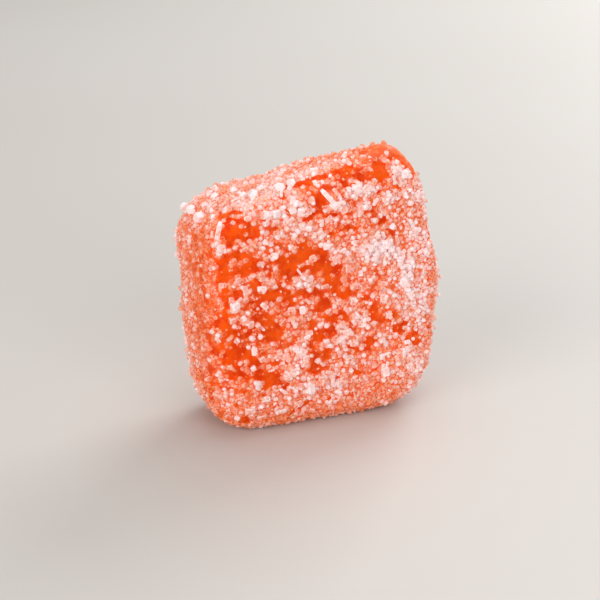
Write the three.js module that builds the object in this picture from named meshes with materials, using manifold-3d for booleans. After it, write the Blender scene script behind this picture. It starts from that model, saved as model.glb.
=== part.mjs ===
// Sour gummy candy: a soft squared block of set jelly, standing on one narrow side,
// with coarse sugar crystals half sunk in its skin.
// Z is up, the broad face looks along -Y, and the foot lies flat at Z = 0.

import * as THREE from 'three';
import { mergeVertices } from 'three/addons/utils/BufferGeometryUtils.js';
import Module from 'manifold-3d';

const wasm = await Module();
wasm.setup();

// The block, in millimetres.
const footWidth = 18.7; // along X, low down
const crownWidth = 16.5; // along X, near the top
const footDepth = 8.5; // along Y, low down
const crownDepth = 10.8; // along Y, near the top
const height = 19.9; // at the middle of the crown
const crownRise = 2.0; // the right end of the crown above its middle
const crownDrop = 1.2; // the back edge of the crown below its middle
const crownTwist = 0.7; // the front right and back left corners above a plane crown
const leanLeft = 1.4; // the crown's middle is this far left of the foot's
const leanBack = 0.7; // and this far behind it
const belly = 1.8; // outward swell of the right side at half height
const flatFoot = 0.12; // how much of the rounded underside is pressed flat

// Roundness of the edges, as exponents: 2 is an ellipsoid, large is a sharp box.
const footRoundness = 5.2;
const crownRoundness = 7.4;

// The broad front face, in millimetres.
const dishDepth = 0.25; // shallow hollow in the middle
const foldDepth = 1.2; // how far its upper right corner is bent back
const waveHeight = 0.1; // gentle lumps all over
const waveLength = 6.5;

// The fold across the front face, as shares of its half width and half height.
const foldAcross = 0.62;
const foldUp = 0.3;
const foldSpan = 0.95;

// Sugar, in millimetres.
const crystalSpacing = 2.2;
const smallestCrystal = 0.5;
const largestCrystal = 0.8;
const longCrystalShare = 0.15; // share of crystals drawn out into short rods
const longCrystalStretch = 1.7;
const crystalSink = 0.08; // a crystal's centre below the skin
const footClearance = 0.15; // no crystal comes lower than this
const sugarSeed = 41;

// Steps of the grid along X, Y and Z.
const gridSteps = [16, 10, 16];

// Smallest distance used to find a slope on the skin, as a share of a face.
const slopeStep = 0.001;

function mix(from, to, share) {
  return from + (to - from) * share;
}

function smoothStep(value) {
  const held = THREE.MathUtils.clamp(value, 0, 1);
  return held * held * (3 - 2 * held);
}

// A repeatable run of numbers between 0 and 1 (a linear congruence on 32 bits).
function seededRandom(seed) {
  let state = seed;
  return () => {
    state = (Math.imul(state, 1664525) + 1013904223) >>> 0;
    return state / 4294967296;
  };
}

// Packs grid steps closer together towards the edges of a face, where it bends most.
function crowdToEdges(value) {
  return 0.5 * (value + Math.sin((value * Math.PI) / 2));
}

// Moves a point of the cube from -1 to 1 onto a cube with rounded edges and corners.
function roundedCube(point) {
  const upwards = point.clone().normalize().z;
  const roundness = mix(footRoundness, crownRoundness, 0.5 + 0.5 * Math.tanh(2 * upwards));
  const sum = Math.abs(point.x) ** roundness
    + Math.abs(point.y) ** roundness
    + Math.abs(point.z) ** roundness;
  return point.clone().multiplyScalar(sum ** (-1 / roundness));
}

// How far the front face is pressed in at a point of the rounded cube.
function frontRelief(point) {
  const nearFront = smoothStep((0.2 - point.y) / 1.2);
  const pastFold = (point.x - foldAcross + point.z - foldUp) * Math.SQRT1_2 / foldSpan;
  const dish = Math.max(1 - point.x ** 2, 0) * Math.max(1 - point.z ** 2, 0);
  return nearFront * (foldDepth * smoothStep(pastFold) + dishDepth * dish);
}

// Low lumps, outwards positive, of three crossing waves.
function lumpHeight(x, y, z) {
  const turn = (2 * Math.PI) / waveLength;
  return waveHeight * (
    Math.sin(turn * (x + 0.4 * z))
    + Math.sin(turn * (0.8 * z - 0.5 * x + y))
    + Math.sin(turn * (0.6 * y + 0.7 * x + 0.9 * z))
  ) / 1.5;
}

// The skin of the block over a point of the cube.
function skinPoint(cubePoint) {
  const round = roundedCube(cubePoint);
  const up = (round.z + 1) / 2;
  const swell = belly * Math.max(round.x, 0) ** 2 * Math.sin(Math.PI * up);
  const width = mix(footWidth, crownWidth, up);
  const depth = mix(footDepth, crownDepth, up);
  const top = height + crownRise * round.x - crownDrop * round.y
    - crownTwist * round.x * round.y;
  const skin = new THREE.Vector3(
    (round.x * width) / 2 - leanLeft * up + swell,
    (round.y * depth) / 2 + leanBack * up + frontRelief(round),
    up * top,
  );
  const outward = cubePoint.clone().normalize();
  skin.addScaledVector(outward, lumpHeight(skin.x, skin.y, skin.z) * smoothStep(3 * up));
  skin.z = Math.max(skin.z - flatFoot, 0);
  return skin;
}

// Position and outward direction of the skin over one face of the cube.
function skinPlace(face, across, up) {
  const at = (a, b) => skinPoint(face.centre.clone()
    .addScaledVector(face.across, a)
    .addScaledVector(face.up, b));
  const here = at(across, up);
  const slopeAcross = at(across + slopeStep, up).sub(here);
  const slopeUp = at(across, up + slopeStep).sub(here);
  return { here, outward: slopeAcross.cross(slopeUp).normalize() };
}

function solidFrom(geometry) {
  const bare = geometry.clone();
  bare.deleteAttribute('normal');
  bare.deleteAttribute('uv');
  const merged = mergeVertices(bare, 1e-5);
  return new wasm.Manifold(new wasm.Mesh({
    numProp: 3,
    vertProperties: new Float32Array(merged.attributes.position.array),
    triVerts: new Uint32Array(merged.index.array),
  }));
}

function geometryFrom(solid) {
  const mesh = solid.getMesh();
  const geometry = new THREE.BufferGeometry();
  geometry.setAttribute('position', new THREE.BufferAttribute(mesh.vertProperties, 3));
  geometry.setIndex(new THREE.BufferAttribute(mesh.triVerts, 1));
  geometry.computeVertexNormals();
  return geometry;
}

// The bare jelly: a gridded cube bent onto the skin.
function jellyGeometry() {
  const geometry = new THREE.BoxGeometry(2, 2, 2, ...gridSteps);
  const position = geometry.attributes.position;
  const point = new THREE.Vector3();
  for (let index = 0; index < position.count; index += 1) {
    point.fromBufferAttribute(position, index);
    const crowded = new THREE.Vector3(
      crowdToEdges(point.x),
      crowdToEdges(point.y),
      crowdToEdges(point.z),
    );
    const skin = skinPoint(crowded);
    position.setXYZ(index, skin.x, skin.y, skin.z);
  }
  return geometry;
}

// One sugar crystal: a small block turned at random about the place where it sits.
function crystalGeometry(place, size, random) {
  const isLong = random() < longCrystalShare;
  const stretch = isLong ? longCrystalStretch : mix(0.9, 1.15, random());
  const geometry = new THREE.BoxGeometry(size * stretch, size * mix(0.8, 1, random()), size);
  const outwardTurn = new THREE.Quaternion()
    .setFromUnitVectors(new THREE.Vector3(0, 0, 1), place.outward);
  const tumble = new THREE.Quaternion().setFromEuler(new THREE.Euler(
    mix(-0.5, 0.5, random()),
    mix(-0.5, 0.5, random()),
    mix(0, Math.PI, random()),
  ));
  geometry.applyQuaternion(outwardTurn.multiply(tumble));
  const centre = place.here.clone().addScaledVector(place.outward, -crystalSink);
  geometry.translate(centre.x, centre.y, centre.z);
  return geometry;
}

// The five sugared faces of the block. The foot is left flat.
const axisX = new THREE.Vector3(1, 0, 0);
const axisY = new THREE.Vector3(0, 1, 0);
const axisZ = new THREE.Vector3(0, 0, 1);
const faces = [
  { centre: axisY.clone().negate(), across: axisX, up: axisZ, size: [footWidth, height] },
  { centre: axisY, across: axisX.clone().negate(), up: axisZ, size: [footWidth, height] },
  { centre: axisX, across: axisY, up: axisZ, size: [crownDepth, height] },
  { centre: axisX.clone().negate(), across: axisY.clone().negate(), up: axisZ, size: [crownDepth, height] },
  { centre: axisZ, across: axisX, up: axisY, size: [crownWidth, crownDepth] },
];

// One crystal in each cell of a grid laid over a face, at a random place in its cell.
function crystalsOn(face, random) {
  const columns = Math.round(face.size[0] / crystalSpacing);
  const rows = Math.round(face.size[1] / crystalSpacing);
  const crystals = [];
  for (let column = 0; column < columns; column += 1) {
    for (let row = 0; row < rows; row += 1) {
      const across = (2 * (column + mix(0.15, 0.85, random()))) / columns - 1;
      const up = (2 * (row + mix(0.15, 0.85, random()))) / rows - 1;
      const size = mix(smallestCrystal, largestCrystal, random() ** 1.5);
      const geometry = crystalGeometry(skinPlace(face, across, up), size, random);
      geometry.computeBoundingBox();
      if (geometry.boundingBox.min.z > footClearance) {
        crystals.push(solidFrom(geometry));
      }
    }
  }
  return crystals;
}

// Jelly and crystals as one body. Of what joining leaves, only the largest shell is kept,
// which drops loose scraps and fills hollows that crystals seal between them.
function sugaredSolid() {
  const random = seededRandom(sugarSeed);
  let solid = solidFrom(jellyGeometry());
  for (const face of faces) {
    for (const crystal of crystalsOn(face, random)) {
      solid = solid.add(crystal);
    }
  }
  const shells = solid.decompose();
  return shells.reduce((best, shell) => (shell.volume() > best.volume() ? shell : best));
}

const candyGeometry = geometryFrom(sugaredSolid());

// The origin is the middle of the foot's side of the bounding box.
candyGeometry.computeBoundingBox();
const middle = candyGeometry.boundingBox.getCenter(new THREE.Vector3());
candyGeometry.translate(-middle.x, -middle.y, 0);

const sugaredJelly = new THREE.MeshStandardMaterial({
  color: 0xf58a6a,
  roughness: 0.5,
  metalness: 0,
});

const candy = new THREE.Mesh(candyGeometry, sugaredJelly);
candy.name = 'gummy_candy';

const group = new THREE.Group();
group.add(candy);

export default group;
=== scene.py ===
# Sour gummy candy: a sugared block of orange jelly on a pale studio floor.
from functools import partial
import bpy
import numpy as np
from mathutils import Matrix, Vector


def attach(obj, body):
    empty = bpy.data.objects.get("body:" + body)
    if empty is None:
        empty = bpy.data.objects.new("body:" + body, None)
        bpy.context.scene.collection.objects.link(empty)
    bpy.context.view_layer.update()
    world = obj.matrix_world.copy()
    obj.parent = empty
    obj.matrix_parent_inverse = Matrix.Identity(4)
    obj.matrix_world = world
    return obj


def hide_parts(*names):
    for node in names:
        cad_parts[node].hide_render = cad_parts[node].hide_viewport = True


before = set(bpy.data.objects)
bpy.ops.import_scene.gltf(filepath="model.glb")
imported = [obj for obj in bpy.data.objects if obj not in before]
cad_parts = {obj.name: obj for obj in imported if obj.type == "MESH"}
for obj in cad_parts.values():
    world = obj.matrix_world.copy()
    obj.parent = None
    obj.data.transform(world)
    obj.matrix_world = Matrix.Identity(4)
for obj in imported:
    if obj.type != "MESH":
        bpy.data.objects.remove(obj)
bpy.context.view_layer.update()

candyNode = "gummy_candy"
mm = 0.001


# The block's form in mm, with the same named sizes as the solid that it stands for.
block = {
    "footWidth": 18.7, "crownWidth": 16.5, "footDepth": 8.5, "crownDepth": 10.8, "height": 19.9,
    "crownRise": 2.0, "crownDrop": 1.2, "crownTwist": 0.7,
    "leanLeft": 1.4, "leanBack": 0.7, "belly": 1.8,
    "footRoundness": 5.2, "crownRoundness": 7.4,  # 2 would be an egg, a large number a box
    "dishDepth": 0.25, "foldDepth": 1.2, "foldAcross": 0.62, "foldUp": 0.3, "foldSpan": 0.95,
    "waveHeight": 0.1, "waveLength": 6.5, "flatFoot": 0.12,
    "middle": (0.2325, 0.5666),  # where the middle of the candy's box falls in these measures
    "slopeStep": 0.002,  # smallest step used to find a slope, on a side that runs from -1 to 1
}

# Centre, across and up direction of each side of the cube that the block is bent from.
sideNames = ["front", "back", "right", "left", "crown", "foot"]
sideAxes = np.array([
    [[0, -1, 0], [1, 0, 0], [0, 0, 1]],
    [[0, 1, 0], [-1, 0, 0], [0, 0, 1]],
    [[1, 0, 0], [0, 1, 0], [0, 0, 1]],
    [[-1, 0, 0], [0, -1, 0], [0, 0, 1]],
    [[0, 0, 1], [1, 0, 0], [0, 1, 0]],
    [[0, 0, -1], [-1, 0, 0], [0, 1, 0]],
], float)


def mix(low, high, share):
    return low + (high - low) * share


def smoothStep(value):
    held = np.clip(value, 0, 1)
    return held * held * (3 - 2 * held)


# Smooth rise from 0 to 1 while a value goes from a start over a span, which may be negative.
def rise(value, start, span):
    return smoothStep((value - start) / span)


# The same from low to high.
def change(value, low, high, start, span):
    return mix(low, high, rise(value, start, span))


def unit(vectors):
    return vectors / np.linalg.norm(vectors, axis=-1, keepdims=True)


# How much the skin looks out of a side, as a rise over its outward direction's share that way.
def facing(side, outward, start, span):
    return rise(outward @ sideAxes[sideNames.index(side), 0], start, span)


# The rounded edge between the front and the right side, from 0 to 1.
def rightEdge(outward):
    return facing("right", outward, 0.25, 0.3) * facing("front", outward, 0.1, 0.3)


# The two axes, 0 to 2 for X to Z, that places on a side are measured along.
def placedAlong(side):
    return np.abs(sideAxes[sideNames.index(side), 1:]).argmax(1)


# Random relief about -1 to 1: many sines added, each running in its own direction.
def ripple(points, length, seed, count=14):
    random = np.random.default_rng(seed)
    directions = unit(random.normal(size=(count, 3)))
    turns = 2 * np.pi / (length * random.uniform(0.7, 1.4, count))
    starts = random.uniform(0, 2 * np.pi, count)
    return np.sin(points @ directions.T * turns + starts).sum(1) / np.sqrt(count)


# Skin of the block, in mm, over points of the cube from -1 to 1. The cube is rounded by
# |x|^n + |y|^n + |z|^n = 1, then width and depth change evenly with height, the crown slants,
# the right side swells as a sine of the height, and the front is bent back past its fold.
# Low lumps of three crossing sines are added, and the foot is pressed flat.
def skinOver(cube):
    upwards = unit(cube)[:, 2]
    roundness = mix(block["footRoundness"], block["crownRoundness"], 0.5 + 0.5 * np.tanh(2 * upwards))
    total = (np.abs(cube) ** roundness[:, None]).sum(1)
    x, y, z = (cube * (total ** (-1 / roundness))[:, None]).T
    up = (z + 1) / 2
    pastFold = (x - block["foldAcross"] + z - block["foldUp"]) * np.sqrt(0.5) / block["foldSpan"]
    dish = np.maximum(1 - x ** 2, 0) * np.maximum(1 - z ** 2, 0)
    relief = block["foldDepth"] * smoothStep(pastFold) + block["dishDepth"] * dish
    relief = rise(y, 0.2, -1.2) * relief
    swell = block["belly"] * np.maximum(x, 0) ** 2 * np.sin(np.pi * up)
    top = block["height"] + block["crownRise"] * x - block["crownDrop"] * y - block["crownTwist"] * x * y
    skin = np.stack([
        x * mix(block["footWidth"], block["crownWidth"], up) / 2 - block["leanLeft"] * up + swell,
        y * mix(block["footDepth"], block["crownDepth"], up) / 2 + block["leanBack"] * up + relief,
        up * top,
    ], 1)
    turn = 2 * np.pi / block["waveLength"]
    sx, sy, sz = skin.T
    lump = block["waveHeight"] / 1.5 * (
        np.sin(turn * (sx + 0.4 * sz))
        + np.sin(turn * (0.8 * sz - 0.5 * sx + sy))
        + np.sin(turn * (0.6 * sy + 0.7 * sx + 0.9 * sz)))
    skin += unit(cube) * (lump * smoothStep(3 * up))[:, None]
    skin[:, 2] = np.maximum(skin[:, 2] - block["flatFoot"], 0)
    skin[:, :2] -= block["middle"]
    return skin


# Point of the cube on a side, from -1 to 1 across and up it.
def cubeAt(side, across, up):
    axes = sideAxes[side]
    return axes[:, 0] + axes[:, 1] * across[:, None] + axes[:, 2] * up[:, None]


# Cross product of the skin's changes across and up, from a step before a place to a step after.
def changeAt(side, across, up, stepAcross, stepUp):
    changes = [skinOver(cubeAt(side, across + a, up + b)) - skinOver(cubeAt(side, across - a, up - b))
               for a, b in ((stepAcross, 0), (0, stepUp))]
    return np.cross(*changes)


# Skin and its outward direction, which is the side's own where the skin has no slope.
def placeAt(side, across, up):
    outward = changeAt(side, across, up, block["slopeStep"], block["slopeStep"])
    flat = np.linalg.norm(outward, axis=1) < 1e-12
    outward[flat] = sideAxes[side[flat], 0]
    return skinOver(cubeAt(side, across, up)), unit(outward)


# How thickly sugar lies, from 0 to 1, and how it wanders over the skin, with lengths in mm. Four
# values are a change: from an amount to another, from a place along an axis over a distance.
cover = {
    "other": 0.78, "left": (0.6, 0.95, -2, 3.5), "crown": (1.0, 0.5, 0.5, 4),
    "front": 0.7, "towardsRight": (0, 0.2, -2, 6), "lowBand": (0, 0.25, 4.6, -2.5),
    "patchy": 0.1, "patchLength": 2.6, "grainy": 0.26, "grainLength": 0.8,
    "hiddenPatchy": 0.24, "hiddenLength": 3.2, "leftPatchy": 0.22, "leftLength": 1.5,
    "bareBelow": 0.15, "fullAbove": 0.9, "strayLevel": 0.3, "strayPatchy": 0.6, "strayLength": 1.3,
    "spotStrength": 0.85, "bareMargin": 0.03, "wander": 0.16, "wanderLength": 1.3,
}

# Bare patches, where the jelly shows: for each side and strength, (place along the side's two axes,
# half sizes along them, or one for both). The axes are X and Z on the front, X and Y on the crown and
# Y and Z on the ends.
barePatches = {"front": {
    1: [(-7.85, 17.3, 0.65, 0.5), (-6.2, 17.4, 0.6, 0.4), (-7.4, 15.6, 0.6, 0.35), (-8.6, 14.4, 0.4, 0.9),
        (-6.4, 14.4, 0.45, 0.7), (-3.3, 14.6, 1.4, 0.5), (-1.5, 13.8, 1.5, 0.35), (-0.7, 14.8, 0.35, 0.6),
        (0.3, 13.4, 0.7, 0.5), (-0.4, 12.9, 0.3, 0.7), (0.5, 12, 0.5, 0.9), (-4.8, 12.1, 1.2, 0.6),
        (-5.9, 10.2, 0.5, 0.75), (-8.6, 10, 0.4, 0.7), (-4.7, 8.8, 0.8, 0.75), (-1.7, 11.5, 1, 0.35),
        (-0.6, 10.4, 0.4, 0.7), (0.8, 9.1, 0.9, 0.7), (-0.8, 8, 1, 0.55), (-7.7, 7.4, 1.1, 0.75),
        (-6.4, 6.8, 0.5, 0.6), (-7.7, 5.6, 0.7, 0.5), (-1.1, 19, 0.5, 0.75), (2.4, 20.6, 0.5, 0.3),
        (3.9, 20.7, 0.8, 0.55)],
    0.9: [(-6.3, 16.5, 0.25, 0.45), (-2.4, 15.6, 0.7, 0.35), (-8.6, 11.7, 0.35, 0.4), (-1.3, 6.2, 0.45, 0.8),
        (2.8, 10.7, 0.6, 0.35), (4.4, 19.8, 0.6, 0.3), (3.3, 17.6, 0.45, 0.4), (4.2, 16.8, 0.4),
        (4.9, 15.8, 0.4, 0.5), (1.3, 11.1, 0.5)],
    0.8: [(-7.5, 14.5, 0.3), (-4.5, 13.6, 0.6, 0.3), (-8.6, 12.7, 0.3), (-7.9, 9.3, 0.6, 0.35),
        (-3.4, 9.1, 0.6, 0.3), (-3, 11.6, 0.5, 0.3), (-5.6, 5.3, 1.2, 0.35), (-4.7, 4.5, 0.8, 0.3),
        (-0.3, 6.2, 0.35, 0.6), (3.3, 6.7, 0.35, 1), (2.4, 6.3, 0.5, 0.35), (3.6, 9.3, 0.5),
        (5.2, 9, 0.6, 0.5), (0, 17.8, 0.8, 0.35), (-3.5, 14, 0.5, 0.4), (-6, 11.2, 0.5, 0.35),
        (3.5, 9.1, 0.4, 0.5), (2, 6.3, 0.6, 0.3), (3.5, 6.7, 0.25, 0.9), (-2.5, 13.8, 0.5, 0.3),
        (-5.9, 9.1, 0.35, 0.4), (-3.1, 10.9, 0.35), (-3.2, 1.1, 0.4), (6.9, 6.4, 0.35),
        (-6.8, 1.3, 0.4, 0.3), (2.8, 20.2, 0.5, 0.3), (-9.3, 7.8, 0.3, 0.4)],
    0.7: [(-6.7, 9.5, 0.5, 0.3), (-3.6, 3.9, 0.3, 0.4), (2.4, 4.5, 0.4, 0.5), (3.9, 12.6, 0.35),
        (5.5, 7.5, 0.8, 0.35), (1.3, 16.7, 0.3), (1.4, 18.5, 0.35), (5.9, 7.3, 0.6, 0.5),
        (7.6, 6.1, 0.3, 0.7), (5.7, 8.7, 0.5, 0.6), (-4.6, 15.9, 0.3), (-8.1, 8.7, 0.4), (-5.9, 6, 0.4),
        (1.4, 8.6, 0.3, 0.4), (-4.4, 11.8, 0.35, 0.3), (-5.6, 11.3, 0.35, 0.3), (-8.5, 11.4, 0.35),
        (-9.1, 9.9, 0.3, 0.35), (-4.5, 5.1, 0.35, 0.3), (-4.2, 14.3, 0.3), (3.4, 11.3, 0.35, 0.3),
        (-8.6, 6.9, 0.35, 0.4), (-8.5, 13.5, 0.3, 0.4), (-6.7, 8.9, 0.4, 0.35), (-5.1, 8, 0.4, 0.35)],
    0.6: [(-4.7, 17.4, 0.35), (6.3, 8, 0.4, 0.3), (7.3, 6.9, 0.4, 0.35), (0.5, 16.4, 0.8, 0.3),
        (3.9, 18.9, 0.35), (2.6, 4.4, 0.4), (4.3, 3, 0.4, 0.3), (-1.4, 5.5, 0.4, 0.6), (4.2, 8.6, 0.3, 0.6),
        (1.9, 2.2, 0.5, 0.35), (-6.6, 14, 0.4), (-7, 13.9, 0.35), (1.1, 19.8, 0.4, 0.25),
        (-7.2, 6.9, 0.35, 0.3), (-2.3, 1.9, 0.35, 0.3), (-8.7, 13.7, 0.35), (-5.8, 14.9, 0.3),
        (-3.4, 13.1, 0.35, 0.3), (0.6, 19.7, 0.3), (-7.3, 17.3, 0.4, 0.5), (-1.7, 15.2, 0.4, 0.3),
        (-5.8, 6.4, 0.35, 0.3), (-1.5, 7.4, 0.4, 0.3), (-4.5, 13.8, 0.3), (-4.3, 11.7, 0.4, 0.3)],
    0.5: [(-5.2, 16.6, 0.25, 0.3), (5.3, 5, 0.3, 0.4), (3.7, 10, 0.3), (0.3, 17.1, 0.3), (0, 2.1, 0.35, 0.3),
        (-1.9, 17.5, 0.3, 0.25), (-5.1, 16.8, 0.3, 0.25), (0.4, 19.6, 0.3), (-3.2, 1.2, 0.5, 0.3),
        (4.8, 15.6, 0.35, 0.3), (-7.2, 12.2, 0.35, 0.3), (3.4, 20.1, 0.5, 0.3), (-3.6, 9.8, 0.4, 0.3)],
    0.4: [(2, 12, 0.7, 0.5), (-3.4, 18.8, 0.35, 0.3), (-7.2, 6.6, 0.35, 0.4)],
}, "crown": {
    1: [(-2.6, -3.9, 0.9, 0.4), (0.9, -4.2, 1.1, 0.5), (4.7, -3.4, 1, 0.5), (6.2, -1, 0.7, 3)],
    0.9: [(-8, -3.8, 0.8, 0.6)],
    0.8: [(-0.7, -4.2, 0.7, 0.3), (-7.4, -4.5, 0.5, 0.3)],
    0.7: [(-2, -4.2, 0.9, 0.3)],
    0.6: [(-8.2, -2.4, 0.4, 1), (-7.3, -2.3, 0.4, 0.7)],
    0.4: [(-1, 1.5, 0.7)],
}, "right": {
    1: [(-3.6, 21.4, 0.7, 0.6), (-3.8, 20.7, 0.4, 0.6)],
    0.8: [(-4, 20.1, 0.3, 0.5)],
}}

# White heaps of dry sugar in the same way, with the share of the grains as their strength.
heaps = {"front": {
    1.2: [(5.9, 13.2, 0.8, 0.6), (6.3, 11.7, 0.4, 1.1), (7.45, 9.5, 0.7, 0.6)],
    1: [(-2.4, 18.4, 0.5), (-2.3, 17, 0.8, 0.45), (0.4, 18.6, 0.5, 0.4), (2.3, 19.5, 1.3, 0.4),
        (6.1, 20.1, 0.5), (3.1, 14.7, 1.1, 0.9), (4.5, 14.9, 0.8, 0.7), (5, 14.1, 0.7, 0.5),
        (6.7, 10.4, 0.4, 0.7), (-2.3, 12.8, 0.8, 0.4), (-7.8, 11.4, 0.45, 0.4), (-1.6, 3.5, 0.5, 0.6),
        (4.8, 4, 0.4, 0.5), (-2.9, 19.2, 0.9, 0.5)],
    0.9: [(5.5, 20.9, 0.6, 0.45), (-6, 4.65, 0.3, 0.4)],
    0.8: [(7.4, 8.5, 0.6), (0.9, 3.45, 0.3, 0.35), (6.4, 12.4, 0.4, 0.8), (8, 9.8, 0.4, 0.5),
        (-1.9, 3.5, 0.5), (5.2, 10.2, 0.5), (5.8, 11.1, 0.3, 0.5), (-3.7, 17.1, 0.6, 0.4),
        (-9.1, 16.4, 0.35, 1.1), (-9.2, 9.2, 0.3, 0.6), (3.8, 13.4, 0.7, 0.4), (1.6, 18.9, 0.5, 0.3),
        (-2.8, 3.7, 0.4, 0.6), (3.7, 15.5, 0.5, 0.35), (4.5, 14.4, 0.5, 0.35)],
    0.7: [(-4.8, 18.4, 0.8, 0.4), (2.5, 18.3, 0.5, 0.4), (4.6, 18.5, 0.7, 0.45), (-3.3, 5.1, 0.6),
        (-1.6, 16.3, 0.5, 0.4), (-8.6, 4, 0.4, 0.5), (-0.4, 6.9, 0.4, 0.3), (1.2, 9.8, 0.4, 0.3),
        (7, 15.8, 0.4), (1, 5.2, 0.4, 0.3), (-1.5, 18.6, 0.4, 0.3), (-1, 15.9, 0.4, 0.3)],
    0.6: [(-3.5, 17.7, 0.6, 0.5), (-7.2, 10.3, 0.35, 0.3), (-0.3, 15.3, 0.4), (1.3, 14.5, 0.4, 0.3),
        (1.1, 7.9, 0.4, 0.8), (6.7, 5.4, 0.5), (8, 3.4, 0.5, 0.6), (-1.9, 12.2, 0.6, 0.3),
        (6.5, 16.2, 0.5, 0.4), (-9.4, 12.9, 0.35, 0.6), (0.5, 14.6, 0.5, 0.3), (7, 12.9, 0.4, 0.5),
        (1.2, 6.3, 0.4, 0.3), (6.8, 18, 0.3, 0.6), (3.6, 15.8, 0.4, 0.3), (2.2, 19, 0.5, 0.3),
        (2.8, 18, 0.4, 0.3), (-5.6, 14.7, 0.4, 0.3), (7.3, 4.1, 0.7, 0.35), (6.3, 18.9, 0.4, 0.3),
        (-8.8, 5.5, 0.3, 0.4), (2.9, 16.1, 0.4, 0.3), (-5, 12.9, 0.4, 0.25), (7.4, 3.5, 0.5, 0.4),
        (4.8, 9, 0.3), (4.5, 13.7, 0.4, 0.3), (-4.8, 5.7, 0.4, 0.3)],
    0.5: [(-6.6, 9.7, 0.35, 0.5), (-2.5, 6.8, 0.7, 0.9), (2.7, 8.7, 0.5), (-7.4, 16.2, 0.45, 0.35),
        (-5.6, 16.2, 0.4, 0.9), (-3, 9.4, 0.6, 0.3), (6.4, 4.8, 0.4), (-3, 16.6, 0.4, 0.3),
        (5.7, 11.3, 0.4, 0.3), (-0.9, 11.8, 0.4, 0.25), (-0.8, 8.9, 0.4, 0.25), (4, 19.8, 0.4, 0.3),
        (8, 11.6, 0.4), (3, 13.9, 0.4, 0.3), (-2.3, 7.9, 0.4, 0.3), (8.4, 8.8, 0.3, 0.4),
        (-2.8, 4.8, 0.4, 0.3), (-3, 9.2, 0.4, 0.3), (1, 18.8, 0.3), (6.8, 14.2, 0.6, 0.4),
        (2, 5.1, 0.4, 0.3), (-6.4, 16.1, 0.5, 0.3), (-2.7, 16.3, 0.4, 0.3), (6.4, 2.8, 0.5, 0.4),
        (-6.1, 2.6, 0.4, 0.3), (6.7, 8.5, 0.3), (5.7, 5.3, 0.4, 0.3), (-6.6, 2, 0.4, 0.3),
        (-5, 17.8, 0.4, 0.3), (6.7, 15.5, 0.4, 0.3), (7.1, 18.5, 0.3, 0.4), (3.6, 12.3, 0.4, 0.3),
        (5.1, 19.7, 0.4, 0.3), (3, 6.6, 0.4, 0.3), (1.3, 14, 0.4, 0.3), (2.8, 18, 0.4),
        (-1.3, 5.8, 0.4, 0.3), (4.7, 10.9, 0.4, 0.3)],
    0.4: [(1.3, 7.6, 0.8, 0.6), (-5.3, 3.3, 0.5, 0.35), (-0.1, 3.8, 0.9, 0.5), (-2, 12.5, 0.4, 0.3),
        (6.6, 8.8, 0.3), (-6.4, 18.4, 0.4, 0.3), (5.3, 13.3, 0.4, 0.3), (-0.5, 3.2, 0.4, 0.3),
        (-1.2, 6.8, 0.4, 0.3), (-1.9, 12.1, 0.4, 0.3), (-0.1, 4.4, 0.4, 0.3), (-0.5, 16.2, 0.4, 0.3)],
    0.3: [(-7.3, 3.4, 0.6, 0.35), (4.2, 6.9, 0.5, 0.7), (7.9, 13.5, 0.4, 1.4)],
}, "left": {
    0.9: [(-0.7, 16.8, 0.6, 0.5), (1.5, 16.7, 0.7, 0.4)],
    0.8: [(-1.9, 5.4, 0.8, 0.4), (-4, 14.5, 0.4, 0.5), (0.2, 9.7, 0.6, 0.5)],
    0.6: [(-0.5, 5.8, 0.5, 0.4)],
    0.4: [(3.6, 13, 0.5, 2)],
}}


# Oval spots on a side, added up at each point. Each falls off as e to the minus cube of its distance,
# and the points are first shifted by a ripple, so that the ovals come out uneven.
def spotsOn(side, points, outward, spots, margin=0.0):
    first, second = [points[:, axis] + cover["wander"] * ripple(points, cover["wanderLength"], seed)
                     for axis, seed in zip(placedAlong(side), (31, 32))]
    total = np.zeros(len(points))
    for strength, ovals in spots.items():
        for oval in ovals:
            a, b, halfA, halfB = (oval + oval[-1:])[:4]
            reach = ((first - a) / (halfA + margin)) ** 2 + ((second - b) / (halfB + margin)) ** 2
            total += strength * cover["spotStrength"] * np.exp(-reach ** 1.5)
    return total * facing(side, outward, 0.2, 0.3)


def heapsOn(points, outward):
    return sum(spotsOn(side, points, outward, spots) for side, spots in heaps.items())


# Sugar cover from 0, bare jelly, to 1, hidden jelly: the sides' amounts blended over the edges, with
# ripples added, bare patches taken off and heaps put on.
def sugarCover(points, outward):
    x, y, z = points.T
    front = facing("front", outward, 0.35, 0.4)
    crown = facing("crown", outward, 0.45, 0.35)
    left = facing("left", outward, 0.4, 0.4)
    amount = mix(cover["other"], change(y, *cover["left"]), left)
    onFront = cover["front"] + change(x, *cover["towardsRight"]) + change(z, *cover["lowBand"])
    amount = mix(mix(amount, onFront, front), change(x, *cover["crown"]), crown)
    hidden = (1 - front) * (1 - crown) * (1 - left)
    amount += cover["patchy"] * ripple(points, cover["patchLength"], 5)
    amount += cover["grainy"] * ripple(points, cover["grainLength"], 6)
    amount += cover["hiddenPatchy"] * hidden * ripple(points, cover["hiddenLength"], 12)
    amount += cover["leftPatchy"] * left * ripple(points, cover["leftLength"], 14)
    for side, spots in barePatches.items():
        amount -= spotsOn(side, points, outward, spots, cover["bareMargin"])
    amount += heapsOn(points, outward)
    return rise(amount, cover["bareBelow"], cover["fullAbove"] - cover["bareBelow"])


# Where melted sugar has dried as a smooth film, from 0 to 1: at the crown's right end.
def endFilm(points, outward):
    right = facing("right", outward, 0.3, 0.4) * rise(points[:, 2], 17.5, 3)
    return np.maximum(facing("crown", outward, 0.4, 0.35), right) * rise(points[:, 0], 1, 4)


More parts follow.
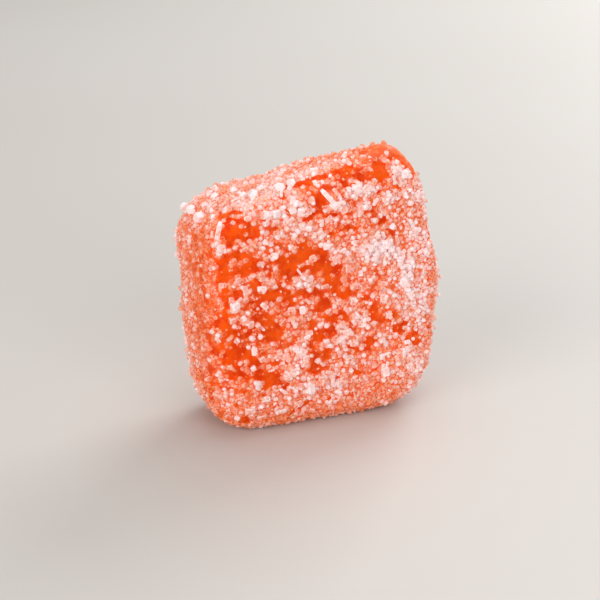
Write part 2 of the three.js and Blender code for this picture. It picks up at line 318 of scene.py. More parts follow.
# Damp film of melted sugar on the jelly, from 0 to 1, alone and under the sugar.
film = {"crownEnd": 0.64, "left": (0.1, 0.5, -2.5, 5), "under": 0.76, "underOnLeft": 0.5,
        "underHeaps": 0.25, "underCrown": (0, 0.24, 2, -3), "coverFrom": (0.2, 0.6)}


# The thicker of the film alone, at the crown's end and on the left side, and the film under sugar.
def sugarFilm(points, outward):
    x, y, z = points.T
    left = facing("left", outward, 0.3, 0.4)
    alone = film["crownEnd"] * endFilm(points, outward) + left * change(y, *film["left"])
    crusted = film["underHeaps"] * np.minimum(spotsOn("front", points, outward, heaps["front"]), 1)
    crusted += facing("crown", outward, 0.4, 0.35) * change(x, *film["underCrown"])
    under = mix(film["under"], film["underOnLeft"], left) + crusted
    return np.maximum(alone, under * rise(sugarCover(points, outward), *film["coverFrom"]))


# Columns and rows of small cells on each side, from which places for sugar are drawn.
cellCounts = {"front": (120, 120), "back": (120, 120), "right": (60, 120), "left": (60, 120),
              "crown": (110, 60), "foot": (110, 60)}


# All sides' cells as flat arrays, with their places, areas and what draws grains there.
def layCells():
    grids = []
    for index, name in enumerate(sideNames):
        columns, rows = cellCounts[name]
        across, up = np.meshgrid(*[(np.arange(n) + 0.5) / n * 2 - 1 for n in (columns, rows)])
        same = [np.full(across.size, value) for value in (1 / columns, 1 / rows, index)]
        grids.append(np.stack([across.ravel(), up.ravel(), *same]))
    across, up, stepAcross, stepUp, side = np.concatenate(grids, 1)
    side = side.astype(int)
    point, outward = placeAt(side, across, up)
    straying = cover["strayLevel"] + cover["strayPatchy"] * ripple(point, cover["strayLength"], 9)
    left = facing("left", outward, 0.3, 0.4)
    x, y, z = point.T
    edges = [rightEdge(outward), rise(z, 1.9, -0.8), left * rise(y, 2.2, 1)]
    return {
        "side": side, "across": across, "up": up, "stepAcross": stepAcross, "stepUp": stepUp,
        "area": np.linalg.norm(changeAt(side, across, up, stepAcross, stepUp), axis=1),
        "point": point, "outward": outward, "cover": sugarCover(point, outward),
        "straying": smoothStep(straying), "left": left * (1 - rise(y, 1.5, 1.5)),
        "edge": np.max(edges, 0), "nearLaid": np.zeros(len(side)),
    }


cells = layCells()
print(f"skin laid out: {len(cells['side'])} cells, {cells['area'].sum():.0f} square mm, mean cover "
      f"{np.average(cells['cover'], weights=cells['area']):.2f}")


# Draws places in the cells by weight, each at random within its cell.
def drawPlaces(count, weight, random):
    chance = cells["area"] * weight
    picked = random.choice(len(chance), count, p=chance / chance.sum())
    across = cells["across"][picked] + cells["stepAcross"][picked] * random.uniform(-1, 1, count)
    up = cells["up"][picked] + cells["stepUp"][picked] * random.uniform(-1, 1, count)
    point, outward = placeAt(cells["side"][picked], across, up)
    return {"point": point, "outward": outward, "cover": cells["cover"][picked]}


# Squares of all distances from the first points to the second, as a^2 + b^2 - 2ab.
def squaredGaps(first, second):
    return (first ** 2).sum(1)[:, None] + (second ** 2).sum(1)[None] - 2 * first @ second.T


# Grains already lying on the skin, which later and smaller ones keep clear of.
lying = {"point": np.zeros((0, 3)), "size": np.zeros(0)}


def layDown(point, size):
    lying["point"] = np.concatenate([lying["point"], point])
    lying["size"] = np.concatenate([lying["size"], size])


# Gaps between grains are tested in parts, which saves memory.
throwing = {"grains": 2400, "unevenness": 0.08, "parts": 8}


# Strews grains one beside the other. A grain stays if no earlier one is nearer than their mean
# size times a spacing, which is wider where the cover is thin.
def strew(kind):
    random = np.random.default_rng(kind["seed"])
    count = throwing["grains"]
    weight = cells["cover"] * (1 - kind["shunsLeft"] * cells["left"])
    weight *= 1 + kind["seeksEdge"] * cells["edge"]
    weight += kind["stray"] * cells["straying"]
    throws = []
    for throw in range(kind["throws"]):
        grains = drawPlaces(count, weight, random)
        size = mix(*kind["sizes"], random.uniform(0, 1, count) ** kind["sizeBias"])
        spacing = mix(*kind["spacing"], smoothStep(grains["cover"]))
        fits = grains["cover"] > kind["leastCover"] + throwing["unevenness"] * random.normal(size=count)
        for part in np.array_split(np.arange(count), throwing["parts"]):
            need = spacing[part, None] * (size[part, None] + lying["size"][None]) / 2
            fits[part] &= (squaredGaps(grains["point"][part], lying["point"]) > need ** 2).all(1)
        point, size, spacing = grains["point"][fits], size[fits], spacing[fits]
        need = spacing[:, None] * (size[:, None] + size[None]) / 2
        alone = ~np.tril(squaredGaps(point, point) < need ** 2, -1).any(1)
        kept = {key: value[fits][alone] for key, value in grains.items()}
        throws.append({**kept, "size": size[alone]})
        layDown(point[alone], size[alone])
    return {key: np.concatenate([grains[key] for grains in throws]) for key in throws[0]}


# A box from -1 to 1 with its edges cut off by the chamfer. Each corner becomes three points, one on
# each side that meets there, and is numbered by bits of 4, 2 and 1 for its place in X, Y and Z.
def chamferedBox(chamfer):
    corners = np.array([[sx, sy, sz] for sx in (-1, 1) for sy in (-1, 1) for sz in (-1, 1)], float)
    points = np.concatenate([corners * (1 - chamfer * (1 - np.eye(3)[axis])) for axis in range(3)])
    sides, cuts = [], [[corner, corner + 8, corner + 16] for corner in range(8)]
    for axis, (bit, first, second) in enumerate(((4, 2, 1), (2, 4, 1), (1, 4, 2))):
        sides += [[8 * axis + low + k for k in (0, first, first + second, second)] for low in (0, bit)]
        p, q = [8 * other for other in range(3) if other != axis]
        cuts += [[k + p, k + bit + p, k + bit + q, k + q] for k in range(8) if not k & bit]
    return grainForm(points, sides, cuts)


# A six-sided grain from -1 to 1, made of rings: each ring is a hexagon of a width at a height. Its
# ends are clear sides, and all between them is cut.
def sixSidedGrain(widths, heights):
    angles = np.arange(6) * np.pi / 3
    hexagon = np.stack([np.cos(angles), np.sin(angles)], 1)
    points = np.concatenate([np.c_[hexagon * wide, np.full(6, high)] for wide, high in zip(widths, heights)])
    last = 6 * (len(widths) - 1)
    bands = [[low + k, low + (k + 1) % 6, low + (k + 1) % 6 + 6, low + k + 6]
             for low in range(0, last, 6) for k in range(6)]
    return grainForm(points, [list(range(6)), list(range(last, last + 6))], bands)


# Cuts faces into triangles fanned from their first point, all turned outwards. Gives the points, the
# triangles, and 0 for each triangle of a clear side or 1 for each of a cut, which the sugar paints paler:
# partly frost, partly a painted highlight along the grain's rims.
def grainForm(points, sides, cuts):
    triangles, frostedWithPaintedGlint = [], []
    for face in sides + cuts:
        a, b, c = points[face[:3]]
        inwards = np.dot(np.cross(b - a, c - a), points[face].mean(0)) < 0
        ring = face[::-1] if inwards else face
        triangles += [[ring[0], *pair] for pair in zip(ring[1:], ring[2:])]
        frostedWithPaintedGlint += [float(face in cuts)] * (len(face) - 2)
    return points, np.array(triangles), np.array(frostedWithPaintedGlint)


def newObject(name, data):
    made = bpy.data.objects.new(name, data)
    bpy.context.collection.objects.link(made)
    return made


# A new mesh object, in metres, from points in mm and faces of equal length.
def meshPiece(name, points, faces, smooth):
    mesh = bpy.data.meshes.new(name)
    mesh.from_pydata(points * mm, [], faces.tolist(), shade_flat=not smooth)
    mesh.validate()
    return newObject(name, mesh)


def addValues(piece, name, values, domain):
    attribute = piece.data.attributes.new(name, "FLOAT", domain)
    attribute.data.foreach_set("value", values.astype(np.float32))


# Upright axes of grains: the outward directions, each tumbled at random by up to about an angle.
def tumbled(outward, degrees, random):
    return unit(outward + np.tan(np.radians(degrees)) * random.uniform(-1, 1, outward.shape))


# Turns of grains about upright axes: a sideways axis at random, and the third square to both.
def grainTurns(upright, random):
    sideways = unit(np.cross(upright, random.normal(size=upright.shape)))
    return np.stack([sideways, np.cross(upright, sideways), upright], 2)


# How much drier, and so whiter, a grain's top is than its waist, and how much wetter and more orange
# its foot, which sits in jelly. The foot's orange is partly real wetting and partly painted glow: it
# paints the jelly-coloured light that fills the shade under a grain.
grainWettingAndGlow = {"top": 0.2, "foot": 0.7, "waist": 0.1}

# Up to which level a clear grain lets the jelly show through, as a share of its half size. Dry
# grains and grains lifted off the skin keep more of their undersides.
grainClearing = {"level": 0.1, "dryWithPaintedLight": 0.3, "lifted": 0.9, "sunk": 0.1, "blend": 0.3}


# One mesh of many grains: a form stretched by half sizes, turned and carried to each centre. None
# goes below the floor. A face's dryness and clearness come from how high up the grain it sits; its
# lower faces are also painted more orange, as a glow of jelly-coloured light.
def joinGrains(name, form, centre, half, turns, outward, tone, clear, lifted):
    points, triangles, frostedWithPaintedGlint = form
    count = len(centre)
    grains = np.einsum("nij,nkj->nki", turns, points[None] * half[:, None]) + centre[:, None]
    grains[:, :, 2] -= np.minimum(grains[:, :, 2].min(1), 0)[:, None]
    faces = triangles[None] + (np.arange(count) * len(points))[:, None, None]
    piece = meshPiece(name, grains.reshape(-1, 3), faces.reshape(-1, 3), False)
    above = np.einsum("nij,ni,kj->nk", turns, outward, points[triangles].mean(1))
    # Lower faces take a damper, more orange colour: partly real wetting by the jelly, partly painted glow of
    # jelly-coloured light in their shade.
    wettingAndGlow = grainWettingAndGlow["top"] * np.maximum(above, 0)
    wettingAndGlow += grainWettingAndGlow["foot"] * np.minimum(above - grainWettingAndGlow["waist"], 0)
    dryWithPaintedLight = np.clip(tone[:, None] + wettingAndGlow, 0, 1)
    shown = above + grainClearing["level"] + grainClearing["dryWithPaintedLight"] * dryWithPaintedLight
    shown += grainClearing["lifted"] * lifted[:, None]
    upper = smoothStep(shown / grainClearing["blend"]) if clear else np.ones(dryWithPaintedLight.shape)
    values = {"frostedWithPaintedGlint": np.tile(frostedWithPaintedGlint, count), "dryWithPaintedLight": dryWithPaintedLight.ravel(),
              "clear": np.full(dryWithPaintedLight.size, float(clear)), "upper": upper.ravel()}
    for key, value in values.items():
        addValues(piece, key, value, "FACE")
    print(name, count, "grains,", count * len(triangles), "triangles")
    return piece


# Strewn grains, each with its own stretch, turn, lift and dryness.
def grainPiece(name, form, places, kind):
    random = np.random.default_rng(kind["seed"] + 100)
    count = len(places["size"])
    stretch = random.uniform(*kind["stretch"], (count, 3)) * np.array(kind["build"])
    turns = grainTurns(tumbled(places["outward"], kind["tumble"], random), random)
    lift = places["size"] * mix(*kind["lift"], random.uniform(0, 1, count))
    lift += places.get("pile", 0)
    centre = places["point"] + places["outward"] * lift[:, None]
    lifted = np.maximum(lift / places["size"] - grainClearing["sunk"], 0)
    tone = kind["tone"] * random.beta(1.1, 2.0, count) + places["dryWithPaintedLight"]
    half = places["size"][:, None] / 2 * stretch
    return joinGrains(name, form, centre, half, turns, places["outward"], tone, kind["clear"], lifted)


# Large crystals and rods set one by one: for each side, (place along the side's two axes, width,
# height, turn in degrees, dryness from 0 to about 1). The last two are 0 and 0.5 unless given.
laidCrystals = {"front": [
    (-6.73, 18.23, 0.5, 0.4, 10, 1), (-5.4, 18.43, 0.75, 0.7, 25, 0.85), (-4.53, 18.37, 0.8, 0.75, 0, 0.9),
    (-5.33, 17.7, 0.6, 0.5, 0, 0.8), (-3.17, 18.5, 0.7, 0.7, 15, 0.85), (-4.33, 16.63, 0.65, 0.5, 45, 1),
    (-3.4, 15.67, 0.5, 0.55, 5, 1), (-4.63, 15.27, 0.7, 0.55, 0, 0.8), (-4.6, 14.07, 0.5, 0.35),
    (-5.67, 13.5, 0.6, 0.85), (-6.47, 13.63, 0.5, 0.5, 30), (-7.47, 13.43, 0.5, 0.5, 10),
    (-8.73, 13.17, 0.5, 0.5), (-7, 12.77, 0.55, 0.55, 20), (-5.6, 12.6, 0.9, 0.55, -5, 1),
    (-2.43, 18.3, 0.7, 0.9, 0, 1), (-2.2, 17.1, 1.2, 0.6, -5, 1), (-0.93, 17.23, 0.4, 0.75, 0, 1),
    (-0.2, 17.5, 0.6, 0.45), (0.27, 18.63, 0.85, 0.5, -10, 1), (0.8, 18.2, 0.7, 0.7, 20),
    (-0.4, 18.3, 0.3, 0.7), (-1, 16.57, 0.6, 0.6, 30, 0.6), (-0.3, 15.23, 0.5, 0.6, 0, 1),
    (1.8, 15.3, 0.5, 0.4, 0, 1), (-1.5, 14.5, 0.65, 0.65, 20), (-2.05, 14.17, 0.45, 0.45),
    (1.27, 14.5, 0.7, 0.45, -40, 1), (1.33, 13.3, 0.6, 0.75), (2.47, 12.63, 0.45, 0.55, 0, 1),
    (2.67, 14.63, 0.35, 1, -8, 1), (3.2, 14.5, 0.35, 1, 6, 1), (3.27, 19.47, 0.5, 0.65, 0, 1),
    (2.67, 19.4, 0.7, 0.7, 30, 0.6), (2.07, 19.57, 0.7, 0.7, 10, 1), (1.33, 19.57, 0.5, 0.5, 0, 1),
    (4.33, 18.53, 0.65, 0.65, 20, 0.6), (5.37, 18.37, 0.55, 0.3, -40, 1), (6.17, 20.2, 0.7, 0.8, 0, 1),
    (5.5, 20.4, 0.5, 0.5, 25, 0.6), (4.1, 17.73, 0.4, 0.85, 40), (4.97, 12.4, 0.4, 0.6, 0, 1),
    (4.37, 11.67, 0.5, 0.6), (4.23, 10.53, 0.6, 0.85), (-7.83, 11.4, 0.85, 0.8, 10, 1),
    (-5.4, 11.2, 0.8, 0.5, -40, 0.8), (-7.2, 10.33, 0.55, 0.55, 30, 1), (-8, 10.33, 0.65, 0.65),
    (-6.6, 9.73, 0.55, 0.85), (-3.2, 10.47, 0.7, 0.5), (-7.63, 8.47, 0.5, 0.5, 45, 1),
    (-6.2, 7.47, 0.55, 0.85, 0, 1), (-5.67, 6.73, 0.6, 0.6, 20), (-3.6, 6.53, 0.55, 1, 40),
    (-8.17, 6.33, 0.5, 0.5), (-6.33, 6.07, 0.5, 0.5, 25, 1), (-2.33, 10.33, 0.6, 0.8, 0, 1),
    (-0.53, 12, 0.9, 0.4), (0.63, 10.53, 0.5, 0.75), (1.8, 10.53, 0.65, 0.85),
    (2.13, 9.33, 0.6, 0.8, 35, 1), (2.87, 9.33, 0.5, 0.7), (2.93, 8.87, 0.8, 0.4, 0, 1),
    (2.73, 8.33, 0.65, 0.55, 0, 1), (1.03, 8.6, 0.65, 0.65, 15), (-1.8, 8.33, 0.7, 0.5, 0, 0.6),
    (-0.33, 7.37, 0.6, 0.5, 0, 1), (0.73, 7.27, 0.6, 0.7), (2.33, 7.4, 0.65, 0.85), (2.07, 6.8, 0.85, 0.5),
    (-2.65, 6.85, 0.65, 0.75, 20, 0.7), (-2.1, 6.3, 0.65, 0.65, 0, 0.6), (6.43, 7.6, 0.6, 0.4),
    (6.57, 6.2, 0.6, 0.4, 0, 1), (-6, 4.63, 0.55, 0.75, 0, 1), (-3.47, 4.73, 0.8, 0.45, 0, 1),
    (-3.17, 5.4, 0.75, 0.7), (-1.6, 3.53, 0.8, 1.1, 0, 1), (-6.67, 2.53, 0.8, 0.7),
    (-5.27, 3.27, 0.8, 0.55, 0, 1), (-2.47, 2.33, 0.6, 0.6, 20), (-0.8, 4.4, 0.6, 0.6),
    (0.87, 3.43, 0.6, 0.65, 0, 1), (1.47, 5.4, 0.6, 0.8), (4.53, 5.33, 0.5, 0.65, 0, 1),
    (4.8, 3.93, 0.75, 0.95, 0, 1), (5.03, 4.57, 0.3, 0.5, 0, 1), (-0.4, 19.25, 2.1, 0.45, -50, 1.15),
    (0.35, 19.4, 1.3, 0.35, -62, 1.1), (-5.6, 9.37, 0.75, 0.25, -48, 1), (-3.9, 3.65, 1.05, 0.3, -41, 1),
    (4.57, 14.8, 1.7, 0.5, -43, 1.15), (-2.72, 13.55, 0.83, 0.2, -57, 1), (6.2, 12.1, 1.1, 0.5, -75, 1.15),
    (6.4, 11.2, 1.1, 0.5, -78, 1.15), (6.8, 10.3, 1, 0.5, -65, 1.1), (-8.8, 16.1, 0.7, 0.5, 80, 0.7),
], "left": [(-4.4, 17.3, 2.1, 0.45, 86, 0.85)], "crown": [
    (-5.55, -3.15, 1.25, 1.1, 20, 1.1), (-4.7, -2.2, 0.8, 0.8, 0, 1.1), (-6, -2.2, 0.8, 0.8, 40, 1.1),
    (-8.6, -2.6, 0.7, 0.6, 0, 1.1), (-9, -0.8, 1.35, 1.25, 25, 1.1), (-9, 1.7, 1.2, 1.1, 15, 1.1),
    (-8.3, 0.5, 0.8, 0.8, 40, 1.1), (-7.4, 0.9, 1, 0.9, 10, 1.1), (-8.9, 4, 1, 0.9, 0, 1.1),
    (-3.8, -3.9, 1.2, 1, 0, 1.1), (-2.9, -3.9, 1, 0.9, 30, 1.1), (-6, 0.2, 0.8, 0.8, 20, 1),
    (-3.2, -2.2, 0.8, 0.8, 10, 1),
]}
laid = {
    "scale": 0.82, "tone": 0.95,
    "depth": 0.8,  # as a share of the smaller of width and height
    "huddle": 0.36,  # how near small grains gather round a laid crystal
    "upright": (-0.02, 0, 1),  # leans a little, so that it gives a level line on the crown too
}
laidKinds = {
    "laidSugar": {"sides": ("front", "left"), "form": "box", "tumble": 22, "lift": 0.22, "seed": 19},
    "lumpSugar": {"sides": ("crown",), "form": "round", "tumble": 34, "lift": 0.4, "seed": 20},
}


# Finds the cell nearest to each crystal's place and turns the crystal in the plane of the skin, by
# the cosine of its turn along the level line and by the sine along the rising one.
def laidPiece(name, form, kind):
    nearest, values = [], []
    for side in kind["sides"]:
        crystals = np.array([crystal + (0, 0.5)[len(crystal) - 4:] for crystal in laidCrystals[side]])
        own = np.flatnonzero(cells["side"] == sideNames.index(side))
        reach = squaredGaps(crystals[:, :2], cells["point"][own][:, placedAlong(side)])
        nearest.append(own[reach.argmin(1)])
        values.append(crystals[:, 2:])
    nearest = np.concatenate(nearest)
    points, outward = cells["point"][nearest], cells["outward"][nearest]
    width, height, turn, tone = np.concatenate(values).T
    width, height = laid["scale"] * width, laid["scale"] * height
    thick = laid["depth"] * np.minimum(width, height)
    level = unit(np.cross(laid["upright"], outward))
    rising = np.cross(outward, level)
    angle = np.radians(turn)[:, None]
    sideways = level * np.cos(angle) + rising * np.sin(angle)
    tilted = tumbled(outward, kind["tumble"], np.random.default_rng(kind["seed"]))
    upwards = unit(np.cross(tilted, sideways))
    turns = np.stack([np.cross(upwards, tilted), upwards, tilted], 2)
    layDown(points, (width + height) / 2)
    nearLaid = np.exp(-squaredGaps(cells["point"], points).min(1) / laid["huddle"] ** 2)
    cells["nearLaid"] = np.maximum(cells["nearLaid"], nearLaid)
    centre = points + outward * (kind["lift"] * thick - jelly["inset"])[:, None]
    half = np.stack([width, height, thick], 1) / 2
    return joinGrains(name, form, centre, half, turns, outward, laid["tone"] * tone, True, 0 * tone)


# How much drier, and so whiter, the sugar is than elsewhere. It is dry on the crown and in heaps,
# and damp on the left side near the front and at the crown's right end. Along the foot it is made
# damper, so darker and more orange, as painted shade; the sides away from front, crown and left are
# made a little paler as painted light, with random patches.
dryShiftWithPaintedLight = {
    "crown": (0.22, -0.18, -1.5, 5), "crownBack": (0, -0.26, -2.5, 3),
    "left": (-0.36, -0.1, -2, 3.5), "leftRim": (0, 0.34, 2.8, 1.5), "leftLow": (0, 0.15, 7, -4),
    # The foot's shift is painted shade, darker and more orange towards the bottom.
    "towardsRight": (0, 0.06, 1, 5), "rightEdge": (0, 0.16, 7, 3), "foot": (0, -0.3, 2.4, -1.4),
    # The hidden sides' shift is painted light, a little paler all over, with random patches.
    "hidden": 0.1, "hiddenPatchy": 0.2, "hiddenLength": 2.4, "patchy": 0.14, "patchLength": 2.0,
    "heaped": 0.5, "alone": -0.42,  # on heaps, and of a grain alone on bare jelly
}


# The shifts of the sides, blended over the edges, and ripples added.
def drynessWithPaintedLight(points, outward):
    x, y, z = points.T
    crown = facing("crown", outward, 0.3, 0.4)
    left = facing("left", outward, 0.4, 0.4)
    front = facing("front", outward, 0.3, 0.4)
    amount = crown * (change(x, *dryShiftWithPaintedLight["crown"]) + change(y, *dryShiftWithPaintedLight["crownBack"]))
    amount += left * (change(y, *dryShiftWithPaintedLight["left"]) + change(y, *dryShiftWithPaintedLight["leftRim"])
                      + change(z, *dryShiftWithPaintedLight["leftLow"]))
    # Darker and more orange towards the bottom: painted shade.
    amount += front * change(x, *dryShiftWithPaintedLight["towardsRight"]) + change(z, *dryShiftWithPaintedLight["foot"])
    amount += rightEdge(outward) * change(z, *dryShiftWithPaintedLight["rightEdge"])
    # A little paler on the sides away from front, crown and left: painted light, with random patches.
    hidden = dryShiftWithPaintedLight["hidden"] + dryShiftWithPaintedLight["hiddenPatchy"] * ripple(points, dryShiftWithPaintedLight["hiddenLength"], 13)
    amount += (1 - front) * (1 - crown) * (1 - left) * hidden
    amount += dryShiftWithPaintedLight["heaped"] * heapsOn(points, outward)
    return amount + dryShiftWithPaintedLight["patchy"] * ripple(points, dryShiftWithPaintedLight["patchLength"], 8)


# sRGB hex colour to linear red, green, blue, alpha.
def linear(colour):
    channels = [int(colour[k:k + 2], 16) / 255 for k in (1, 3, 5)]
    return [c / 12.92 if c <= 0.04045 else ((c + 0.055) / 1.055) ** 2.4 for c in channels] + [1.0]


# Adds one node with its settings. An input given an output is linked, and any other is set.
def addNode(tree, kind, inputs=None, output=0, **settings):
    node = tree.nodes.new("ShaderNode" + kind)
    for name, value in settings.items():
        setattr(node, name, value)
    for name, value in (inputs or {}).items():
        if isinstance(value, bpy.types.NodeSocket):
            tree.links.new(value, node.inputs[name])
        else:
            node.inputs[name].default_value = value
    return node.outputs[output] if node.outputs else node


# A new material, and the function that adds a node to it.
def newMaterial(name):
    material = bpy.data.materials.new(name)
    material.use_nodes = True
    material.node_tree.nodes.clear()
    return material, partial(addNode, material.node_tree)


def withStops(output, stops):
    elements = output.node.color_ramp.elements
    while len(elements) < len(stops):
        elements.new(0.5)
    for element, (place, colour) in zip(elements, stops):
        element.position = place
        element.color = linear(colour)
    return output


# Set fruit jelly, cast in starch and rolled in sugar while damp: deep see-through orange that
# light soaks into, satin where starch touched it and glossy where its skin is wet.
jellyLook = {
    "orange": ((0.38, "#DC3D05"), (0.6, "#F35D08")),  # deep, bare
    "syrup": ((0.75, "#F88456"), (1.0, "#FBBCAC")),  # under sugar, under a crust of it
    "soak": (0.9, 0.22, 0.05), "soakDepthMm": 1.0, "specular": 0.08, "ior": 1.43,
    "roughness": (0.28, 0.55), "mottleMm": 1.1, "filmMm": 0.28, "filmPatches": (1.6, -0.84),
    "pitted": 0.25, "pitDepthMm": 0.05,
}


def setJelly():
    material, add = newMaterial("setFruitJelly")
    place = add("TexCoord", output="Object")
    mottle = add("TexNoise", {"Vector": place, "Scale": 1 / (jellyLook["mottleMm"] * mm),
                              "Detail": 6.0, "Roughness": 0.62})
    pits = add("TexNoise", {"Vector": place, "Scale": 1 / (jellyLook["filmMm"] * mm), "Detail": 2.0})
    orange = withStops(add("ValToRGB", {"Fac": mottle}), jellyLook["orange"])
    sugared = add("Attribute", output="Fac", attribute_name="sugared")
    contrast, offset = jellyLook["filmPatches"]
    patch = add("Math", {0: pits, 1: contrast, 2: offset}, operation="MULTIPLY_ADD")
    amount = add("Math", {0: sugared, 1: patch}, operation="ADD", use_clamp=True)
    syrup = withStops(add("ValToRGB", {"Fac": amount}), jellyLook["syrup"])
    colour = add("Mix", {"Factor": amount, 6: orange, 7: syrup}, 2, data_type="RGBA")
    wet, satin = jellyLook["roughness"]
    rough = add("MapRange", {"Value": mottle, "From Min": 0.3, "From Max": 0.7, "To Min": wet,
                             "To Max": satin})
    bump = add("Bump", {"Height": pits, "Strength": jellyLook["pitted"],
                        "Distance": jellyLook["pitDepthMm"] * mm})
    shader = add("BsdfPrincipled", {
        "Base Color": colour, "Roughness": rough, "Normal": bump, "IOR": jellyLook["ior"],
        "Specular IOR Level": jellyLook["specular"], "Subsurface Weight": 1.0,
        "Subsurface Radius": jellyLook["soak"], "Subsurface Scale": jellyLook["soakDepthMm"] * mm})
    add("OutputMaterial", {"Surface": shader})
    return material


# Granulated sugar, refined and crystallised: clear grains with flat shiny sides, their cut edges paler,
# partly frosted white by tumbling and partly a painted highlight along the rims. Damp grains take the
# jelly's colour, made more orange as a painted glow of warm light in their shade, and dry ones stay white.
sugarLook = {
    # The damp stops are partly a painted glow of warm jelly light in shade; the edge colours are partly a
    # painted rim highlight.
    "sides": ((0.0, "#F05A1C"), (0.45, "#F49069"), (1.0, "#FADAD8")),  # from damp to dry
    "edges": ((0.0, "#F8986A"), (0.45, "#FBC7B9"), (1.0, "#FDEAEC")),
    "sideClearness": (0.6, 0.1), "edgeClearness": (0.3, 0.0),  # of damp and of dry grains
    "roughness": 0.3, "frostRoughness": 0.3, "specular": 0.12, "ior": 1.54,
    "specksMm": 0.12, "specks": (0.6, -0.2),
}


def granulatedSugar():
    material, add = newMaterial("granulatedSugar")
    # Dryness carries painted light: glow painted on grains' lower faces, shade painted along the foot and a
    # lift on the dimmer sides.
    dryWithPaintedLight, frostedWithPaintedGlint, clear, upper = [add("Attribute", output="Fac", attribute_name=name)
                                  for name in ("dryWithPaintedLight", "frostedWithPaintedGlint", "clear", "upper")]
    specks = add("TexNoise", {"Vector": add("TexCoord", output="Object"), "Detail": 2.0,
                              "Scale": 1 / (sugarLook["specksMm"] * mm)})
    side, edge = [withStops(add("ValToRGB", {"Fac": dryWithPaintedLight}), sugarLook[part]) for part in ("sides", "edges")]
    contrast, offset = sugarLook["specks"]
    cloud = add("Math", {0: specks, 1: contrast, 2: offset}, operation="MULTIPLY_ADD", use_clamp=True)
    # Cut faces and specks take the edge colour: frost, with a painted highlight along the rims.
    frostAndPaintedGlint = add("Math", {0: frostedWithPaintedGlint, 1: cloud}, operation="MAXIMUM")
    colour = add("Mix", {"Factor": frostAndPaintedGlint, 6: side, 7: edge}, 2, data_type="RGBA")
    rough = add("Math", {0: frostAndPaintedGlint, 1: sugarLook["frostRoughness"], 2: sugarLook["roughness"]},
                operation="MULTIPLY_ADD")
    clearSide, clearEdge = [add("MapRange", {"Value": dryWithPaintedLight, "To Min": damp, "To Max": dried})
                            for damp, dried in (sugarLook["sideClearness"], sugarLook["edgeClearness"])]
    clearness = add("Mix", {"Factor": frostAndPaintedGlint, "A": clearSide, "B": clearEdge})
    lost = add("Math", {0: clearness, 1: clear}, operation="MULTIPLY")
    solid = add("Math", {0: 1.0, 1: lost}, operation="SUBTRACT")
    shown = add("Math", {0: solid, 1: upper}, operation="MULTIPLY")
    inside = add("NewGeometry", output="Backfacing")
    outside = add("Math", {0: 1.0, 1: inside}, operation="SUBTRACT")
    seen = add("Math", {0: shown, 1: outside}, operation="MULTIPLY")
    shader = add("BsdfPrincipled", {"Base Color": colour, "Roughness": rough, "Alpha": seen,
                 "IOR": sugarLook["ior"], "Specular IOR Level": sugarLook["specular"]})
    add("OutputMaterial", {"Surface": shader})
    material.use_backface_culling = True
    return material


# The jelly under the sugar. The inset leaves room for the sugar within the candy's own size.
jelly = {
    "steps": (144, 80, 144),  # along X, Y and Z
    "inset": 0.12, "filmThickness": 0.13, "smoothFoot": 0.4,
    "dimpleDepth": 0.035, "dimpleLength": 0.9, "pitDepth": 0.015, "pitLength": 0.4,
}


# Grid over the whole cube with its steps crowded to the edges, bent onto the skin, drawn in by
# the inset and roughened along the outward direction. Points shared by two sides are merged.
def jellyPiece(material):
    cubes, outward, quads = [], [], []
    start = 0
    for side, axes in enumerate(sideAxes):
        columns, rows = [jelly["steps"][axis] for axis in placedAlong(sideNames[side])]
        a, b = np.meshgrid(np.linspace(-1, 1, columns + 1), np.linspace(-1, 1, rows + 1))
        a, b = (0.5 * (v + np.sin(v * np.pi / 2)).ravel() for v in (a, b))
        whichSide = np.full(a.size, side)
        cubes.append(cubeAt(whichSide, a, b))
        outward.append(placeAt(whichSide, a, b)[1])
        corner = (np.arange(rows)[:, None] * (columns + 1) + np.arange(columns)[None]).ravel() + start
        quads.append(np.stack([corner, corner + 1, corner + columns + 2, corner + columns + 1], 1))
        start += a.size
    cubes, outward, quads = [np.concatenate(parts) for parts in (cubes, outward, quads)]
    keys, first, same = np.unique(np.round(cubes, 6), axis=0, return_index=True, return_inverse=True)
    shared = np.zeros((len(keys), 3))
    np.add.at(shared, same.ravel(), outward)
    cubes, outward, quads = cubes[first], unit(shared), same.ravel()[quads]
    skin = skinOver(cubes)
    rough = jelly["dimpleDepth"] * ripple(skin, jelly["dimpleLength"], 21)
    rough += jelly["pitDepth"] * ripple(skin, jelly["pitLength"], 22)
    rough += jelly["filmThickness"] * endFilm(skin, outward)
    rough *= rise(skin[:, 2], 0, jelly["smoothFoot"])
    points = skin + outward * (rough - jelly["inset"])[:, None]
    piece = meshPiece("jellyBlock", points, quads, True)
    addValues(piece, "sugared", sugarFilm(skin, outward), "POINT")
    piece.data.materials.append(material)
    print("jelly block:", len(points), "points,", 2 * len(quads), "triangles")
    return piece


# What all kinds of sugar share, unless they say otherwise.
anySugar = {"form": "round", "clear": True, "build": (1, 1, 0.9), "stretch": (0.82, 1.12),
            "throws": 12, "sizeBias": 1, "stray": 0, "shunsLeft": 0, "seeksEdge": 0}

